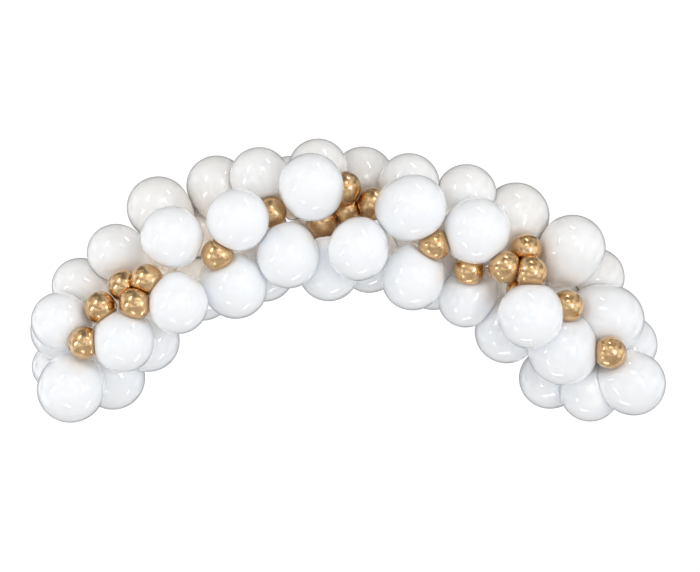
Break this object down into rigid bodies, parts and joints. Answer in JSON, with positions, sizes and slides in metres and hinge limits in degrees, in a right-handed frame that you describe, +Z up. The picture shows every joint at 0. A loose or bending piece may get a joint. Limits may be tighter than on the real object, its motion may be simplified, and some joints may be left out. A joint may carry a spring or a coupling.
{
  "type": "balloon garland",
  "caption": "Wall-hung arch of glossy white latex balloons with small gold ones pushed in between, for decorating a party, a table or a doorway.",
  "frame": {"origin": "middle of the flat spot where the top middle balloon is pressed on the wall", "axes": "+X along the wall to the right, +Y into the wall, +Z up; the front faces -Y"},
  "size_m": [2.5604, 0.6222, 1.129],
  "materials": {
    "white_latex": "glossy white latex",
    "gold_latex": "mirror-like gold latex"
  },
  "bodies": {
    "root": {"white_01_low_front": "white_latex", "white_01_low_back": "white_latex", "white_01_wall": "white_latex", "white_02_high_front": "white_latex", "white_02_high_back": "white_latex", "white_03_low_front": "white_latex", "white_03_low_back": "white_latex", "white_03_top": "white_latex", "white_03_wall": "white_latex", "white_04_top": "white_latex", "white_04_low_front": "white_latex", "white_04_back_pair": "white_latex", "white_05_front": "white_latex", "white_05_top": "white_latex", "white_05_low": "white_latex", "white_05_wall": "white_latex", "white_06_front": "white_latex", "white_06_top": "white_latex", "white_06_back_pair": "white_latex", "white_07_top": "white_latex", "white_07_low_front": "white_latex", "white_07_wall": "white_latex", "white_08_front": "white_latex", "white_08_top": "white_latex", "white_08_low": "white_latex", "white_08_wall": "white_latex", "white_09_low_front": "white_latex", "white_09_back_pair": "white_latex", "white_09_wall": "white_latex", "white_09_front": "white_latex", "white_10_top": "white_latex", "white_10_low": "white_latex", "white_10_wall": "white_latex", "white_11_front": "white_latex", "white_11_top": "white_latex", "white_11_back_pair": "white_latex", "white_12_top": "white_latex", "white_12_low": "white_latex", "white_12_wall": "white_latex", "white_13_top": "white_latex", "white_13_front": "white_latex", "white_13_low": "white_latex", "white_14_high_front": "white_latex", "white_14_low_front": "white_latex", "white_14_back_pair": "white_latex", "white_15_front": "white_latex", "white_15_top": "white_latex", "white_15_low_back": "white_latex", "white_15_low": "white_latex", "gold_01": "gold_latex", "gold_02": "gold_latex", "gold_03": "gold_latex", "gold_04": "gold_latex", "gold_05": "gold_latex", "gold_06": "gold_latex", "gold_07": "gold_latex", "gold_08": "gold_latex", "gold_trio": "gold_latex", "gold_quintet": "gold_latex", "gold_quartet": "gold_latex"}
  },
  "joints": []
}
